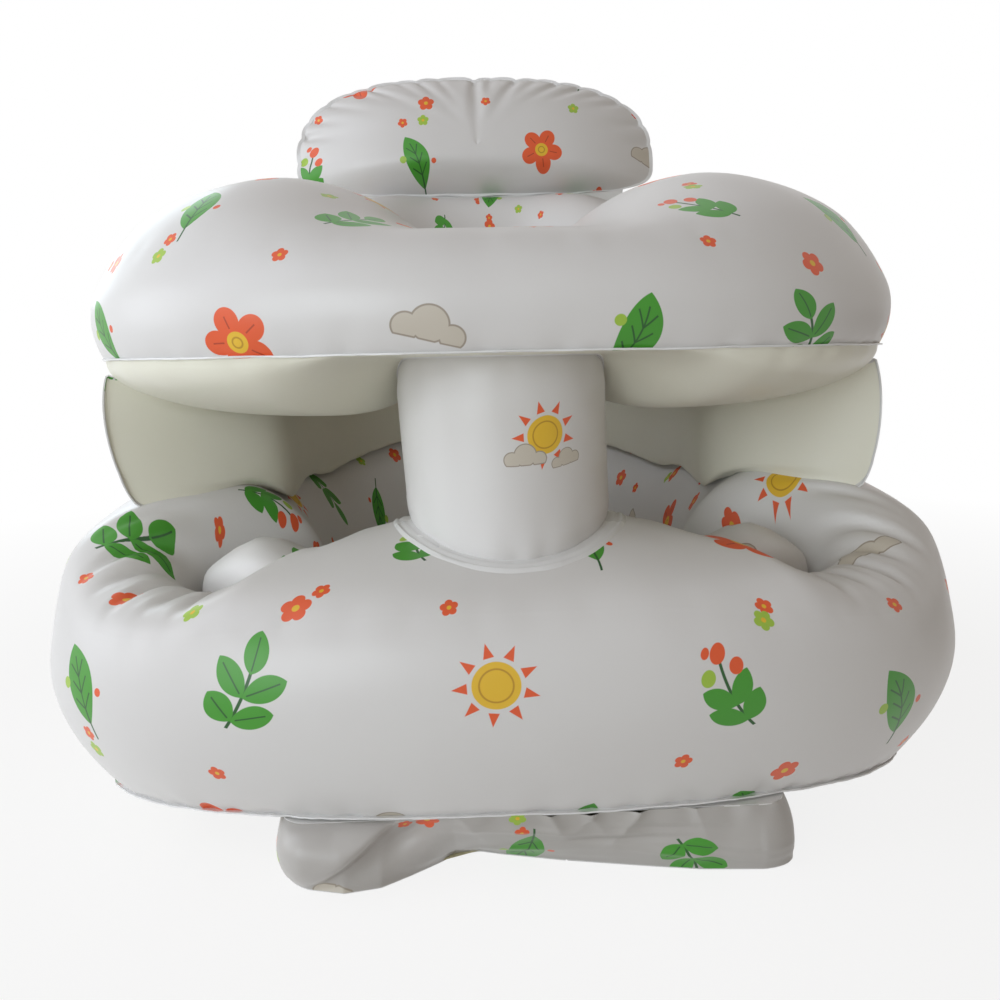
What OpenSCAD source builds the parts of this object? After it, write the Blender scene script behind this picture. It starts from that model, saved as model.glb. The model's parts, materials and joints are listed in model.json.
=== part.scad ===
// Inflatable baby floor seat: a base ring with leg wells, a seat cushion,
// a crotch post, a side wall, an upper ring and a tilting headrest.
// Front is -Y, up is +Z, the floor is z = 0. All sizes in millimetres.

/* [Base ring] */
// Half width of the base at its top seam
base_half_w = 221; // [184:1:266]
// Reach of the base's top seam in front of its centre
base_front = 168; // [140:1:205]
// Reach of the base's top seam behind its centre
base_back = 205; // [170:1:250]
// Height of the base's bottom seam above the floor at the front
base_seam_z = 32; // [28:0.5:39]
// Height of the printed side band of the base
base_band_h = 90; // [74:1:109]
// How far the top sheet of the base crowns over its seam
base_crown = 33; // [26:1:42]
// Outward swell of the base's side band
base_swell = 12; // [6:0.5:16]

/* [Seat and legs] */
// Half width of the seat hollow
seat_half_w = 98; // [80:1:108]
// Extra reach of each leg well past the seat hollow
well_reach = 112; // [93:1:116]
// Swell of the seat cushion over its rim
seat_swell = 34; // [24:1:42]

/* [Crotch post] */
// Diameter of the crotch post
post_d = 91; // [75:1:96]
// Distance of the post's axis in front of the base's centre
post_in = 92; // [86:1:98]
// Width of the weld collars at both ends of the post
collar_w = 4.8; // [4:0.1:6]

/* [Upper ring and wall] */
// Height from the base's top seam to the upper ring's bottom seam
leg_gap = 98; // [84:1:118]
// Half width of the upper ring at its seams
ring_half_w = 186; // [168:1:200]
// Height of the upper ring's side band
ring_band_h = 43; // [36:1:52]
// Crown of the upper ring's sides over its top seam
ring_crown = 35; // [28:1:42]
// Rise of the back of the upper ring over its top seam
back_rise = 60; // [50:1:72]
// Half width of the opening for the body
hole_half_w = 72; // [60:1:86]

/* [Headrest] */
// Width of the headrest pillow
pillow_w = 236; // [196:1:284]
// Height of the headrest pillow
pillow_h = 72; // [60:1:87]
// Thickness of the headrest pillow
pillow_t = 49; // [42:1:58]
// Backward lean of the headrest in degrees
pillow_lean = 8; // [4:1:14]

/* [Film, valves and pump] */
// Thickness of the welded film
film_t = 0.5; // [0.4:0.05:0.6]
// Outer diameter of a valve stem
stem_d = 13; // [11:0.1:14.5]
// Width of the air pump pad under the front
pump_w = 214; // [180:1:240]
// Depth of the air pump pad, front to back
pump_d = 70; // [60:1:84]

/* [Hidden] */
air_gap = 0.15;                      // film to the air inside it
skin = air_gap+film_t;               // air to the outside of the film
reach_f = base_front-3.43+0.84*base_swell+skin;     // front of the base
reach_b = base_back+0.84*base_swell+skin+3.85;     // back of the base with its valve cap
base_cy = (reach_f-reach_b)/2;       // centre of the base outline
ring_cy = base_cy+12;                // centre of the ring outline
post_y = post_in-base_cy;            // the post's axis is at y = -post_y
base_z1 = base_seam_z+base_band_h;   // base top seam
ring_z0 = base_z1+leg_gap;           // ring bottom seam
ring_z1 = ring_z0+ring_band_h;       // ring top seam
weld_z = 72;                         // seat cushion weld height
nu = 32;                             // columns round the base
nr = 28;                             // columns round the ring
post_r = post_d/2;                   // outside of the post's film
pump_z = base_seam_z-1;              // underside of the base over the pump

function sq(x) = x*x;
function sm(x, a, b) = let (q = min(1, max(0, (x-a)/(b-a)))) q*q*(3-2*q);
function gs(t, t0, w) = let (d = ((t-t0+900)%360)-180) exp(-sq(d/w));
function so(t, a, f, b, nf, nb) = let (c = abs(cos(t)), s = abs(sin(t)),
    e = sin(t) < 0 ? nf : nb, g = sin(t) < 0 ? f : b)
    pow(pow(c/a, e)+pow(s/g, e), -1/e);

// base ring: outlines and heights at the angle t about (0, base_cy)
function lobe(t, t0) = let (d = ((t-t0+900)%360)-180) exp(-sq(sq(d/18)));
function b_lob(t) = lobe(t, -143)+lobe(t, -37);
function b_fr(t) = gs(t, -90, 34.4);
function b_sd(t) = sm(abs(cos(t)), 0.25, 0.8);
function b_S(t) = so(t, base_half_w, base_front, base_back, 3, 2.4);
function b_B(t) = so(t, base_half_w-16, base_front-14, base_back, 2.8, 2.4);
function b_H(t) = so(t, seat_half_w, 32, 118, 2.4, 2.2)+well_reach*b_lob(t);
function b_w(t) = b_S(t)-b_H(t);
function b_hh(t) = base_crown*sm(b_w(t), -5, 100)+14*sm(sin(t), 0, 0.9)+15*sm(abs(cos(t)), 0.8, 0.97)
    -10*b_fr(t)-9*b_lob(t);
function b_z1(t) = base_z1-12*b_sd(t);
function b_z0(t) = base_seam_z-12*b_sd(t)*sm(sin(t), -0.9, -0.25);
function b_rc(t) = b_S(t)-b_w(t)*(0.5+0.2*b_fr(t));
function b_top(t, r) = let (s = b_S(t), c = b_rc(t), h = b_H(t), z = b_z1(t)+b_hh(t))
    r >= c ? b_z1(t)+b_hh(t)*pow(sin(90*min(1, max(0, (s-r)/(s-c)))), 1-0.6*b_sd(t))
    : weld_z+(z-weld_z)*pow(max(0, 1-pow(min(1, (c-r)/(c-h)), 2.3)), 1/2.3);
function b_topxy(x, y) = b_top(atan2(y-base_cy, x), norm([x, y-base_cy]));
function pump_win(x, y) = (1-sm(y, base_cy-42, base_cy-12))*(1-sm(abs(x-6), 142, 170));
function b_pt(t, v) = let (s = b_S(t), b = b_B(t), h = b_H(t), c = b_rc(t), z1 = b_z1(t), z0 = b_z0(t),
    f = [0, 0.15, 0.5, 1], p = [0, 32, 60, 90], k = [1, 0.88, 0.68, 0.36, 0.14, 0],
    kz = [30, 12, 0, 0, 0, 0], g = [0.3, 0.7], slope = 31+37*b_lob(t),
    r = v < 4 ? s+(c-s)*f[v] : v < 7 ? h+(c-h)*(1-pow(sin(p[v-3]), 2/2.3)) : v < 13 ? b+(h-b)*k[v-7]
        : b+(s-b)*g[v-13]+base_swell*pow(sin(180*g[v-13]), 0.8),
    x = r*cos(t), y = base_cy+r*sin(t),
    z = v < 7 ? b_top(t, r)
        : v < 13 ? max(kz[v-7], z0*pow(max(0, 1-(b-r)/slope), 1.25), skin, pump_win(x, y)*(pump_z+skin))
        : z0+(z1-z0)*g[v-13])
    [x, y, v == 12 ? max(z, z0) : z];
b_t = [for (i = [0:nu-1]) let (a = 360*(i+0.5)/nu) a-24*sin(a)-90];
BASE = [for (v = [0:14]) [for (t = b_t) b_pt(t, v)]];

// upper ring: outlines and heights at the angle t about (0, ring_cy)
function r_S(t) = so(t, ring_half_w, 172, 158, 2.7, 2.4);
function r_H(t) = so(t, hole_half_w, 48, 98, 2.3, 2.3);
function r_w(t) = r_S(t)-r_H(t);
function r_hh(t) = 8+(ring_crown-8)*sm(abs(cos(t)), 0.22, 0.72)*(1-0.8*sm(sin(t), 0.3, 0.8))
    +(back_rise-8)*sm(sin(t), 0.35, 0.95);
function r_hb(t) = 0.22*r_w(t)*(0.2+0.8*sm(abs(cos(t)), 0.2, 0.55));
function r_bot(t, r) = let (s = r_S(t), h = r_H(t), c = (s+h)/2, z = ring_z0-r_hb(t), zi = ring_z0+15)
    r >= c ? ring_z0-r_hb(t)*sin(90*min(1, max(0, (s-r)/(s-c))))
    : zi+(z-zi)*pow(max(0, 1-pow(min(1, (c-r)/(c-h)), 2.3)), 1/2.3);
function r_botxy(x, y) = r_bot(atan2(y-ring_cy, x), norm([x, y-ring_cy]));
function r_pt(t, v) = let (s = r_S(t), h = r_H(t), c = (s+h)/2, hh = r_hh(t),
    f = [0, 0.3, 0.65, 1], p = [0, 35, 62, 90], k = [1, 0.82, 0.5, 0.22, 0], g = [0.17, 0.83],
    r = v < 4 ? s+(c-s)*f[v] : v < 7 ? h+(c-h)*(1-pow(sin(p[v-3]), 2/2.3)) : v < 12 ? s+(h-s)*k[v-7]
        : s+7*pow(sin(180*g[v-12]), 0.8),
    z = v < 4 ? ring_z1+hh*sin(90*f[v]) : v < 7 ? ring_z1-17+(hh+17)*pow(cos(p[v-3]), 2/2.3)
        : v < 12 ? r_bot(t, r) : ring_z0+ring_band_h*g[v-12])
    [r*cos(t), ring_cy+r*sin(t), z];
r_t = [for (i = [0:nr-1]) let (a = 360*(i+0.5)/nr) a-15*sin(a)-90];
RING = [for (v = [0:13]) [for (t = r_t) r_pt(t, v)]];

// side wall: a C in plan, its section runs up the outside and down the inside
w_a = [0, 1, 3.5, 9, 17, 27];
w_t = concat([for (a = w_a) a-24], [for (i = [1:11]) 3+14.5*i], [for (i = [5:-1:0]) 204-w_a[i]]);
function w_T(t) = let (d = min(1, min(t+24, 204-t)/18)) max(0.04, sqrt(1-pow(1-d, 3)));
function w_pt(t, v) = let (k = [0, 0, 0, 0.5, 1, 1, 1, 0.5][v], u = [0, 0.5, 1, 1, 1, 0.5, 0, 0][v],
    ro = r_S(t)-2-6*pow(1-u, 1.5), ri = ro-w_T(t)*(ro-so(t, 118, 165, 128, 2.6, 2.4)),
    r = ro+(ri-ro)*k+(u == 0.5 ? 9-15*k : 0), x = r*cos(t), y = ring_cy+r*sin(t),
    z0 = b_topxy(x, y)+skin+2.8+k, z1 = r_bot(t, r)-skin-3.6)
    [x, y, z0+(z1-z0)*u];
WALL = [for (v = [0:7]) [for (t = w_t) w_pt(t, v)]];

// seat cushion: rings that shrink to the middle, top first, then underneath
s_s = [0.06, 0.45, 0.78, 0.94, 1, 1, 0.06];
function s_R(t) = b_H(t)-(2*skin+1.2)*sqrt(1+sq((b_H(t+1)-b_H(t-1))/b_H(t)*28.65));
// how much the film domes up beside each leg well, 0 to 1
function s_dome(x, y) = exp(-sq((abs(x)-112)/34)-sq((y-base_cy+82)/26));
function s_pt(t, v) = let (R = s_R(t), s = s_s[v], x = s*R*cos(t), y = base_cy+s*R*sin(t),
    d = 22*exp(-sq((y-base_cy-35)/60)-sq(x/80))-28*s_dome(x, y),
    z = v < 5 ? weld_z+12+(seat_swell-d)*(1-pow(s, 8)) : weld_z)
    [x, y, v == 0 ? weld_z+12+seat_swell-19 : z];
SEAT = [for (v = [0:6]) [for (t = b_t) s_pt(t, v)]];

// headrest pillow, in its own plane: x across, z up from the hinge, y back
hr_y = ring_cy+(r_S(90)+r_H(90))/2+0.5;
hr_z = ring_z1+back_rise+skin+2.6;
pillow_dn = 0.3*pillow_h;              // from the pillow's widest line to its foot
n_p = 22;
p_s = [0.34, 0.68, 0.9, 1, 0.9, 0.68, 0.34];
function p_out(a, k) = let (c = cos(a), q = sin(a))
    [(pillow_w/2+k)*sign(c)*pow(abs(c), q > 0 ? 2/2.9 : 0.45),
     q > 0 ? (pillow_h-pillow_dn+k)*pow(q, 2/2.3) : -(pillow_dn+k)*pow(-q, 2/3.4)];
function p_pt(a, v) = let (s = p_s[v], o = p_out(a, 0), d = pillow_t/2*(1-pow(s, 3)))
    [o[0]*s, v < 3 ? -d : v > 3 ? d : 0, pillow_dn+3.85+o[1]*s];
PILLOW = [for (v = [0:6]) [for (i = [0:n_p-1]) p_pt(360*(i+0.5)/n_p, v)]];

// normals and offsets of a grid of rows
function unit(a) = a/max(1e-9, norm(a));
function nrm(G, v, u, cu, cv) = let (V = len(G), U = len(G[0]),
    ua = cu ? (u+U-1)%U : max(0, u-1), ub = cu ? (u+1)%U : min(U-1, u+1),
    va = cv ? (v+V-1)%V : max(0, v-1), vb = cv ? (v+1)%V : min(V-1, v+1),
    d1 = unit(G[v][ub]-G[v][ua]), e1 = unit(G[vb][u]-G[v][u]), e2 = unit(G[v][u]-G[va][u]))
    unit(cross(d1, vb == v ? e2 : va == v ? e1 : unit(e1+e2)));
function drop(p) = p[2] < 0.12 ? [p[0], p[1], 0] : p;
function off(G, d, sgn, cu, cv) = [for (v = [0:len(G)-1]) [for (u = [0:len(G[0])-1])
    drop(G[v][u]+sgn*d*nrm(G, v, u, cu, cv))]];

// closed solid of rows: tube round both ways, or open with its end rows capped
function quads(a, b, U, cu, fl) = [for (u = [0:U-(cu ? 1 : 2)]) let (n = (u+1)%U,
    q = [a+u, a+n, b+n, b+u]) each (fl ? [[q[0], q[1], q[2]], [q[0], q[2], q[3]]]
    : [[q[2], q[1], q[0]], [q[3], q[2], q[0]]])];
function flat(G) = [for (r = G) each r];
function ends(V, U, fl) = [for (v = [1:V-2]) each
    [fl ? [0, v*U, (v+1)*U] : [(v+1)*U, v*U, 0],
     fl ? [(v+1)*U+U-1, v*U+U-1, U-1] : [U-1, v*U+U-1, (v+1)*U+U-1]]];
module torus(G, fl) {
    V = len(G); U = len(G[0]);
    polyhedron(flat(G), [for (v = [0:V-1]) each quads(v*U, ((v+1)%V)*U, U, true, fl)]);
}
module horn(G, fl) {
    V = len(G); U = len(G[0]);
    polyhedron(flat(G), concat([for (v = [0:V-1]) each quads(v*U, ((v+1)%V)*U, U, false, fl)],
        ends(V, U, fl)));
}
module lens(G, fl) {
    V = len(G); U = len(G[0]);
    c = [for (u = [0:U-1]) u];
    polyhedron(flat(G), concat([for (v = [0:V-2]) each quads(v*U, (v+1)*U, U, true, fl)],
        [fl ? [for (u = [U-1:-1:0]) u] : c],
        [fl ? [for (u = c) (V-1)*U+u] : [for (u = [U-1:-1:0]) (V-1)*U+u]]));
}
// one film panel: rows a to b of the grid, cap 1 closes row a, cap 2 closes row b
module panel(G, a, b, sgn, fl, cu = true, cv = true, cap = 0) {
    U = len(G[0]); n = b-a+1;
    V = len(G);
    I = off(G, air_gap, sgn, cu, cv); O = off(G, skin, sgn, cu, cv);
    P = concat([for (v = [a:b]) each O[v%V]], [for (v = [a:b]) each I[v%V]]);
    m = n*U;
    c = [for (u = [0:U-1]) u]; d = [for (u = [U-1:-1:0]) u];
    polyhedron(P, concat(
        [for (v = [0:n-2]) each quads(v*U, (v+1)*U, U, cu, fl)],
        [for (v = [0:n-2]) each quads(m+v*U, m+(v+1)*U, U, cu, !fl)],
        cap == 1 ? [fl ? d : c, fl ? [for (u = c) m+u] : [for (u = d) m+u]] : quads(0, m, U, cu, !fl),
        cap == 2 ? [[for (u = fl ? c : d) (n-1)*U+u], [for (u = fl ? d : c) m+(n-1)*U+u]]
            : quads((n-1)*U, m+(n-1)*U, U, cu, fl),
        cu ? [] : [for (v = [0:n-2]) each let (q = [v*U, (v+1)*U, m+(v+1)*U, m+v*U])
            fl ? [[q[0], q[1], q[2]], [q[0], q[2], q[3]]] : [[q[2], q[1], q[0]], [q[3], q[2], q[0]]]],
        cu ? [] : [for (v = [0:n-2]) each let (k = U*[1, 1, 1, 1]-[1, 1, 1, 1],
            q = [v*U, (v+1)*U, m+(v+1)*U, m+v*U]+k)
            fl ? [[q[2], q[1], q[0]], [q[3], q[2], q[0]]] : [[q[0], q[1], q[2]], [q[0], q[2], q[3]]]]));
}

// places: outward +Z of a valve laid on each film
function facet_y(G, v, U) = max(G[v][U/2][1], G[v+1][U/2][1]);
module at_base_valve() translate([0, facet_y(BASE, 13, nu)+skin, base_seam_z+base_band_h/2])
    rotate([-90, 0, 0]) children();
module at_ring_valve() translate([0, facet_y(RING, 12, nr)+skin, ring_z0+ring_band_h/2])
    rotate([-90, 0, 0]) children();
module in_pillow() translate([0, hr_y, hr_z]) rotate([-pillow_lean, 0, 0]) children();
pv_z = pillow_dn+3.85+6;
module at_pillow_valve() in_pillow()
    translate([0, pillow_t/2*(1-pow(0.34, 3))+skin, pv_z]) rotate([-90, 0, 0]) children();
module pocket() translate([0, 0, -28-skin]) cylinder(d = stem_d+5, h = 40, $fn = 40);
module film_hole() translate([0, 0, -4]) cylinder(d = stem_d+1, h = 12, $fn = 40);
module post_hole(z0, z1) translate([0, -post_y, z0]) cylinder(r = post_r+collar_w+0.3, h = z1-z0, $fn = 64);
post_z0 = base_z1-22;
post_z1 = ring_z0+6;

// base ring
module base_top_sheet() color("white") difference() {
    panel(BASE, 0, 7, 1, true);
    post_hole(post_z0, base_z1+60);
}
module base_side_band() color("ghostwhite") difference() {
    panel(BASE, 12, 15, 1, true);
    at_base_valve() film_hole();
}
module base_bottom_sheet() color("beige") panel(BASE, 7, 12, 1, true);
module base_air() color("lightblue", 0.5) difference() {
    torus(BASE, true);
    post_hole(post_z0-0.1, base_z1+60);
    at_base_valve() pocket();
}

// seat cushion
module seat_top_sheet() color("white") panel(SEAT, 0, 4, -1, false, true, false, 1);
module seat_bottom_sheet() color("beige") translate([0, 0, weld_z-skin]) linear_extrude(film_t)
    polygon([for (p = SEAT[5]) [p[0], p[1]]]);
module seat_air() color("lightblue", 0.5) lens(SEAT, false);

// crotch post with its weld collars
module post_film() color("white") translate([0, -post_y, post_z0]) difference() {
    cylinder(r = post_r, h = post_z1-post_z0, $fn = 64);
    translate([0, 0, -1]) cylinder(r = post_r-film_t, h = post_z1-post_z0+2, $fn = 64);
}
module post_air() color("lightblue", 0.5) translate([0, -post_y, post_z0])
    cylinder(r = post_r-skin, h = post_z1-post_z0, $fn = 64);
n_c = 32;
function c_at(i, r, up) = let (a = 360*i/n_c, x = r*cos(a), y = -post_y+r*sin(a))
    [x, y, up ? max(b_topxy(x, y), base_z1+2)+skin : r_botxy(x, y)-skin];
function collar(up) = let (q = up ? 1 : -1, a = (post_r+0.1)/cos(180/n_c), b = post_r+collar_w) [
    for (k = [[a, -7, b], [b, -6, b], [b, 0.9, b], [(a+b)/2, 2.2, b], [a, 1.6, b]])
    [for (i = [0:n_c-1]) let (p = c_at(i, k[0], up)) [p[0], p[1], min(p[2]+q*k[1], up ? 999 : post_z1-0.4)]]];
module post_lower_weld() color("silver") torus(collar(true), false);
module post_upper_weld() color("silver") torus(collar(false), true);

// side wall
module wall_outer_sheet() color("ghostwhite") panel(WALL, 0, 2, 1, false, false, true);
module wall_inner_sheet() color("beige") panel(WALL, 4, 6, 1, false, false, true);
module wall_air() color("lightblue", 0.5) horn(WALL, false);

// upper ring
module ring_top_sheet() color("white") panel(RING, 0, 7, 1, true);
module ring_side_band() color("ghostwhite") difference() {
    panel(RING, 11, 14, 1, true);
    at_ring_valve() film_hole();
}
module ring_bottom_sheet() color("beige") difference() {
    panel(RING, 7, 11, 1, true);
    post_hole(ring_z0-40, post_z1);
}
module ring_air() color("lightblue", 0.5) difference() {
    torus(RING, true);
    post_hole(ring_z0-40, post_z1+0.1);
    at_ring_valve() pocket();
}

// headrest: hinge strip on the ring, pillow on the strip
module headrest_hinge_strip() color("silver") translate([-72, hr_y-0.5, ring_z1+back_rise+skin-0.4])
    cube([144, 1, 2.6]);
function rim(d, w) = [for (i = [0:71]) let (a = 5*i, o = p_out(a, d+(sin(a) > -0.2 ? w*cos(a*16) : 0)))
    [o[0], pillow_dn+3.85+o[1]]];
module headrest_weld_rim() color("silver") in_pillow() rotate([90, 0, 0]) translate([0, 0, -0.4])
    linear_extrude(0.8) difference() {
        polygon(rim(3.6, 0.6));
        polygon(rim(skin+0.25, 0));
    }
module headrest_front_sheet() color("white") in_pillow() panel(PILLOW, 0, 3, -1, true, true, false, 1);
module headrest_back_sheet() color("white") in_pillow() difference() {
    panel(PILLOW, 3, 6, -1, true, true, false, 2);
    translate([0, pillow_t/2, pv_z]) rotate([-90, 0, 0]) film_hole();
}
module headrest_air() color("lightblue", 0.5) difference() {
    in_pillow() lens(PILLOW, true);
    at_pillow_valve() pocket();
}

// one inflation valve in four pieces, z = 0 on the film
module v_flange() color("gainsboro") translate([0, 0, 0.05]) difference() {
    cylinder(d = stem_d+9, h = 0.8, $fn = 48);
    translate([0, 0, -1]) cylinder(d = stem_d+0.6, h = 3, $fn = 48);
}
module v_stem() color("whitesmoke") difference() {
    union() {
        translate([0, 0, -15]) cylinder(d = stem_d, h = 16.5, $fn = 48);
        translate([0, 0, 0.95]) cylinder(d = stem_d+2.6, h = 1.2, $fn = 48);
        translate([0, 0, -15]) cylinder(d = stem_d+2, h = 1, $fn = 48);
    }
    translate([0, 0, -16]) cylinder(d = stem_d-4.4, h = 20, $fn = 48);
}
module v_plug() color("white") {
    translate([0, 0, -7]) cylinder(d = stem_d-4.6, h = 9.3, $fn = 40);
    translate([0, 0, 2.25]) cylinder(d = stem_d+1, h = 1.6, $fn = 48);
    translate([0, -2.5, 2.25]) cube([stem_d/2+7, 5, 1.2]);
}
module v_flap() color("gray") translate([0, 0, -15.75]) {
    cylinder(d = stem_d-2, h = 0.5, $fn = 40);
    translate([-stem_d/2-0.1, -2, 0]) cube([3, 4, 0.5]);
}
module base_valve_flange() at_base_valve() v_flange();
module base_valve_stem() at_base_valve() v_stem();
module base_valve_plug() at_base_valve() v_plug();
module base_valve_flap() at_base_valve() v_flap();
module ring_valve_flange() at_ring_valve() v_flange();
module ring_valve_stem() at_ring_valve() v_stem();
module ring_valve_plug() at_ring_valve() v_plug();
module ring_valve_flap() at_ring_valve() v_flap();
module headrest_valve_flange() at_pillow_valve() v_flange();
module headrest_valve_stem() at_pillow_valve() v_stem();
module headrest_valve_plug() at_pillow_valve() v_plug();
module headrest_valve_flap() at_pillow_valve() v_flap();

// foam air pump under the front of the base
pump_x = 6;
pump_y0 = base_cy-base_front+15;     // front edge of the pad
module pad(d, z0, z1) translate([pump_x, pump_y0+pump_d/2, z0]) linear_extrude(z1-z0) {
    square([pump_w-2*d, pump_d-24-2*d], center = true);
    square([pump_w-24-2*d, pump_d-2*d], center = true);
    for (x = [-1, 1], y = [-1, 1]) translate([x*(pump_w/2-12-d), y*(pump_d/2-12-d)]) circle(r = 12, $fn = 32);
}
module at_intake() translate([pump_x+60, pump_y0+pump_d/2, 0]) children();
module pump_top_sheet() color("white") pad(0, pump_z-0.8, pump_z-0.2);
module pump_skirt() color("white") difference() {
    pad(0.1, 0.7, pump_z-0.9);
    pad(0.7, -1, pump_z+1);
}
module pump_foam() color("khaki") difference() {
    pad(1.2, 0.9, pump_z-1.1);
    at_intake() cylinder(d = 30, h = 0.7*pump_z, $fn = 48);
}
module pump_press_sheet() color("white") difference() {
    pad(0, 0, 0.6);
    at_intake() translate([0, 0, -1]) cylinder(d = 12, h = 3, $fn = 40);
}
module pump_intake_ring() color("gainsboro") at_intake() translate([0, 0, 0.6]) difference() {
    cylinder(d = 22, h = 2, $fn = 48);
    translate([0, 0, -1]) cylinder(d = 12, h = 4, $fn = 40);
}
module pump_intake_flap() color("gray") at_intake() translate([0, 0, 2.85]) {
    cylinder(d = 14.5, h = 0.5, $fn = 40);
    translate([-8.6, -2.5, 0]) cube([3, 5, 0.5]);
}

base_top_sheet();
base_side_band();
base_bottom_sheet();
base_air();
seat_top_sheet();
seat_bottom_sheet();
seat_air();
post_film();
post_air();
post_lower_weld();
post_upper_weld();
wall_outer_sheet();
wall_inner_sheet();
wall_air();
ring_top_sheet();
ring_side_band();
ring_bottom_sheet();
ring_air();
headrest_hinge_strip();
headrest_weld_rim();
headrest_front_sheet();
headrest_back_sheet();
headrest_air();
base_valve_flange();
base_valve_stem();
base_valve_plug();
base_valve_flap();
ring_valve_flange();
ring_valve_stem();
ring_valve_plug();
ring_valve_flap();
headrest_valve_flange();
headrest_valve_stem();
headrest_valve_plug();
headrest_valve_flap();
pump_top_sheet();
pump_skirt();
pump_foam();
pump_press_sheet();
pump_intake_ring();
pump_intake_flap();
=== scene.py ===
"""Looks of an inflatable baby floor seat: printed vinyl film, welds, valves and the foam pump pad."""
import json
import math
from functools import partialmethod

import bpy
import numpy as np
from mathutils import Matrix, Vector


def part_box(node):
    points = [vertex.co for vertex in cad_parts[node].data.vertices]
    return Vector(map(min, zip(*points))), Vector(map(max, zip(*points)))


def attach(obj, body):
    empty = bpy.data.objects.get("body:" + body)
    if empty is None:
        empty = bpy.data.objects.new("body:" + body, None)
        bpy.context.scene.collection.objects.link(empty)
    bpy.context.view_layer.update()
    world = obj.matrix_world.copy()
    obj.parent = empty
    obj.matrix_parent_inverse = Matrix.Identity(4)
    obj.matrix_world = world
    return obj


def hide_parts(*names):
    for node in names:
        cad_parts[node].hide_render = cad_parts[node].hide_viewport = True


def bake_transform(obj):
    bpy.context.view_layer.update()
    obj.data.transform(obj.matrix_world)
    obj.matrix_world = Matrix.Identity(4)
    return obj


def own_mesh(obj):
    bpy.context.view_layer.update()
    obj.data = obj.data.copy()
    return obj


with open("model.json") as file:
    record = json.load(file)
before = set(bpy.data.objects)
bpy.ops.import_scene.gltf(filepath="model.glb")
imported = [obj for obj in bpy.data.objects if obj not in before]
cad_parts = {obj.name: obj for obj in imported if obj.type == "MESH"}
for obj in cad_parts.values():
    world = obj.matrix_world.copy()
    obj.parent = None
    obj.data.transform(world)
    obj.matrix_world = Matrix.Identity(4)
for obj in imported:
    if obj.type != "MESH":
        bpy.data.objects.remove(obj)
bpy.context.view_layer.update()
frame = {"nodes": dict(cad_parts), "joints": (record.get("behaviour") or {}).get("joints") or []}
MM = 0.001

# ---- camera, at the photograph's angle
CAMERA_PLACE = Vector((-22, -522.1, 220)) * MM
YAW, PITCH, ROLL = math.radians(2.5), math.radians(9.3), math.radians(1.2)
LENS, SENSOR = 32.4, 36
NEAREST, FURTHEST = 0.01, 20


def add_object(name, data):
    made = bpy.data.objects.new(name, data)
    bpy.context.scene.collection.objects.link(made)
    return made


def make_camera():
    level = math.cos(PITCH)
    ahead = Vector((math.sin(YAW) * level, math.cos(YAW) * level, -math.sin(PITCH)))
    right = Vector((math.cos(YAW), -math.sin(YAW), 0))
    up = right.cross(ahead)
    right, up = (right * math.cos(ROLL) - up * math.sin(ROLL),
                 right * math.sin(ROLL) + up * math.cos(ROLL))
    data = bpy.data.cameras.new("camera")
    data.lens = LENS
    data.sensor_width = SENSOR
    data.clip_start, data.clip_end = NEAREST, FURTHEST
    camera = add_object("camera", data)
    camera.matrix_world = Matrix((right, up, -ahead)).transposed().to_4x4()
    camera.location = CAMERA_PLACE
    bpy.context.scene.camera = camera


make_camera()

# ---- sizes, in millimetres
# most are those of the part's source, so that each film lies on its piece
BASE_HALF_W, BASE_FRONT, BASE_BACK = 221, 168, 205
BASE_SEAM_Z, BASE_BAND_H, BASE_CROWN, BASE_SWELL = 32, 90, 33, 12
SEAT_HALF_W, WELL_REACH, SEAT_SWELL = 98, 112, 34
POST_R, POST_IN, COLLAR_W = 45.5, 92, 4.8
LEG_GAP, RING_HALF_W, RING_BAND_H, RING_CROWN, BACK_RISE, HOLE_HALF_W = 98, 186, 43, 35, 60, 72
PILLOW_W, PILLOW_H, PILLOW_T, PILLOW_LEAN = 236, 72, 49, 8
PILLOW_DN = 0.3 * PILLOW_H  # from the pillow's widest line to its foot
SKIN = 0.65  # from the air to the outside of the film
REACH_F = BASE_FRONT - 3.43 + 0.84 * BASE_SWELL + SKIN
REACH_B = BASE_BACK + 0.84 * BASE_SWELL + SKIN + 3.85
BASE_CY = (REACH_F - REACH_B) / 2  # centre of the base, in y
RING_CY = BASE_CY + 12
POST_Y = BASE_CY - POST_IN
BASE_Z1 = BASE_SEAM_Z + BASE_BAND_H
RING_Z0 = BASE_Z1 + LEG_GAP
RING_Z1 = RING_Z0 + RING_BAND_H
WELD_Z = 72  # weld between base and cushion
PUMP_Z = BASE_SEAM_Z - 1  # top of the pump pad
LEG_ANGLES = (-143, -37)  # of the leg wells, about the base's centre
FRONT, FRONT_W = -90, 34.4  # where the base is flatter, and how far round
CREST = 0.5  # place of the base's crest between its seam and its hole
FALL = 2.3  # roundness of a sheet inside its crest
HOLE_DROP = 17  # from the ring's top seam to its hole's edge
FILM = 0.4  # thickness of the film as drawn


def sind(a):
    return np.sin(np.radians(a))


def cosd(a):
    return np.cos(np.radians(a))


def share(x, a, b):
    """How far x is on the way from a to b, 0 to 1."""
    return np.clip((x - a) / (b - a), 0, 1)


def smooth(x, a, b):
    q = share(x, a, b)
    return q * q * (3 - 2 * q)


def column(n, a=0, b=1):
    """n numbers from a to b, one to a row."""
    return np.linspace(a, b, n)[:, None]


def turn(t, t0):
    """Degrees from t0 to t, from -180 to 180."""
    return (t - t0 + 540) % 360 - 180


def hump(x, w, n=2):
    """1 at x = 0, falling to 0 within about twice w."""
    return np.exp(-(x / w) ** n)


def bell(t, t0, w):
    """A hump round the angle t0."""
    return hump(turn(t, t0), w)


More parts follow.
